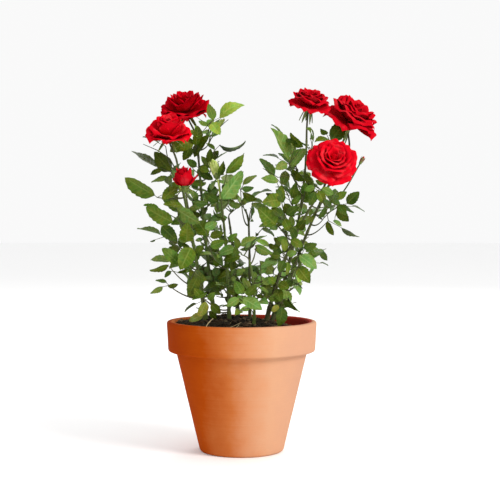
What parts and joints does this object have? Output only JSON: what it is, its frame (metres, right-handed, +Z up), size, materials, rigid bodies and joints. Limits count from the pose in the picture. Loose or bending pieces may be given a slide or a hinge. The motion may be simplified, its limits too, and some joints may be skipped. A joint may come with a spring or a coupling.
{
  "type": "potted rose bush",
  "caption": "Potted miniature rose bush: double red blooms and buds on leafy canes that lean outwards in two groups from a tapered clay pot with a wide rim band.",
  "frame": {"origin": "centre of the pot's flat underside", "axes": "+Z up along the pot's axis, +Y away from the front, +X to the right as seen from the front"},
  "size_m": [0.2575, 0.1835, 0.3637],
  "materials": {
    "clay": "matte fired clay, unglazed, fine turning lines near the lip",
    "soil": "dark, rough bark and peat potting mix",
    "cane": "satin green bark, yellower and thicker low down, purplish at the tips",
    "petal": "soft velvety red petals, lighter on the outside",
    "bud": "pale yellow-green sepals",
    "leaf": "satin mid to dark green leaflets, lighter underneath"
  },
  "bodies": {
    "root": {"pot": "clay", "soil": "soil", "cane_back": "cane", "cane_front": "cane", "cane_left_back": "cane", "cane_left_front": "cane", "cane_left_inner": "cane", "cane_middle": "cane", "cane_right_back": "cane", "cane_right_front": "cane", "cane_right_inner": "cane", "bloom_left_back": "petal", "bloom_left_front": "petal", "bloom_left_small": "petal", "bloom_right_back": "petal", "bloom_right_front": "petal", "bloom_right_inner": "petal", "bud_left": "bud", "bud_right": "bud", "leaves_back_1": "leaf", "leaves_back_2": "leaf", "leaves_back_3": "leaf", "leaves_back_4": "leaf", "leaves_front_1": "leaf", "leaves_front_2": "leaf", "leaves_front_3": "leaf", "leaves_left_back_1": "leaf", "leaves_left_back_2": "leaf", "leaves_left_back_3": "leaf", "leaves_left_back_4": "leaf", "leaves_left_back_5": "leaf", "leaves_left_back_6": "leaf", "leaves_left_back_7": "leaf", "leaves_left_front_1": "leaf", "leaves_left_front_2": "leaf", "leaves_left_front_3": "leaf", "leaves_left_front_4": "leaf", "leaves_left_front_5": "leaf", "leaves_left_inner_1": "leaf", "leaves_left_inner_2": "leaf", "leaves_left_inner_3": "leaf", "leaves_middle_1": "leaf", "leaves_middle_2": "leaf", "leaves_middle_3": "leaf", "leaves_right_back_1": "leaf", "leaves_right_back_2": "leaf", "leaves_right_back_3": "leaf", "leaves_right_back_4": "leaf", "leaves_right_front_1": "leaf", "leaves_right_front_2": "leaf", "leaves_right_front_3": "leaf", "leaves_right_front_4": "leaf", "leaves_right_inner_1": "leaf", "leaves_right_inner_2": "leaf", "leaves_right_inner_3": "leaf", "leaves_right_inner_4": "leaf", "leaves_right_inner_5": "leaf", "leaves_right_inner_6": "leaf"}
  },
  "joints": []
}
